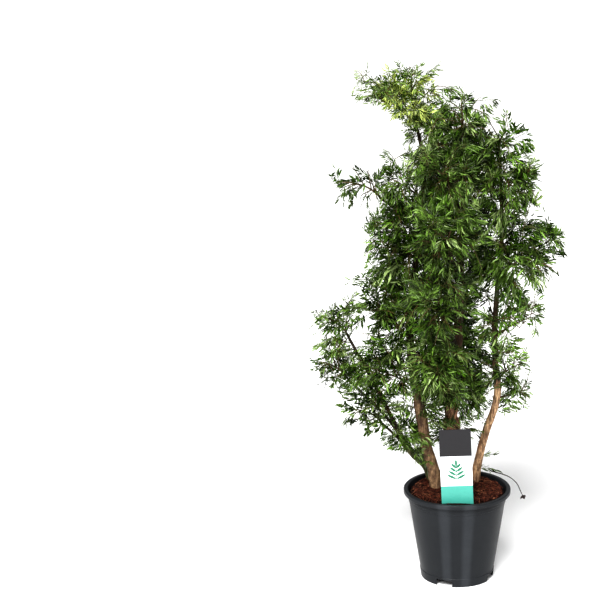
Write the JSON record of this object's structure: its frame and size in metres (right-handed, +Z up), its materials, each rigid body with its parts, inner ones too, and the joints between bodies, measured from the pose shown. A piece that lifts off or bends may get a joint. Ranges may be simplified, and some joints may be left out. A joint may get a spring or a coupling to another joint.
{
  "type": "potted ming aralia",
  "caption": "Potted ming aralia: slender woody stems carry a tall, feathery evergreen crown above a tapered charcoal nursery pot.",
  "frame": {"origin": "on the pot's axis, at the floor that it stands on", "axes": "+Z up along the pot's axis, +X to the plant's right seen from its front, -Y towards the viewer of its front"},
  "size_m": [0.5535, 0.4105, 1.1842],
  "materials": {
    "pot": "satin",
    "soil": "rough",
    "plant_label": "satin",
    "bark": "rough",
    "leaves_deep": "glossy",
    "leaves_fresh": "glossy",
    "leaves_bright": "glossy",
    "leaves_young": "glossy",
    "leaves_lime": "glossy"
  },
  "bodies": {
    "root": {"pot": "pot", "soil": "soil", "plant_label": "plant_label", "stem_far_left": "bark", "stem_left": "bark", "stem_right": "bark", "trunk_centre": "bark", "leader_back": "bark", "leader_centre": "bark", "leader_left": "bark", "leader_right": "bark", "bough_arm_left": "bark", "bough_crest_left": "bark", "bough_dome_back": "bark", "bough_droop_left": "bark", "bough_high_front": "bark", "bough_low_centre": "bark", "bough_low_front": "bark", "bough_mid_front": "bark", "bough_mid_right": "bark", "bough_ring_side": "bark", "bough_ring_top": "bark", "bough_skirt_front": "bark", "bough_spray_right": "bark", "foliage_arm_left": "leaves_deep", "foliage_crest_heart": "leaves_lime", "foliage_crest_left": "leaves_young", "foliage_dome_back": "leaves_deep", "foliage_dome_front": "leaves_deep", "foliage_dome_right": "leaves_deep", "foliage_droop_left": "leaves_fresh", "foliage_high_back": "leaves_deep", "foliage_high_front": "leaves_fresh", "foliage_high_right": "leaves_fresh", "foliage_low_back": "leaves_deep", "foliage_low_centre": "leaves_fresh", "foliage_low_front": "leaves_deep", "foliage_low_left": "leaves_deep", "foliage_low_right": "leaves_bright", "foliage_mid_back": "leaves_deep", "foliage_mid_front": "leaves_fresh", "foliage_mid_left": "leaves_deep", "foliage_mid_right": "leaves_deep", "foliage_ring_side": "leaves_deep", "foliage_ring_top": "leaves_fresh", "foliage_shoulder_left": "leaves_fresh", "foliage_skirt_back": "leaves_deep", "foliage_skirt_front": "leaves_fresh", "foliage_skirt_left": "leaves_deep", "foliage_skirt_right": "leaves_fresh", "foliage_spray_right": "leaves_fresh"}
  },
  "joints": []
}
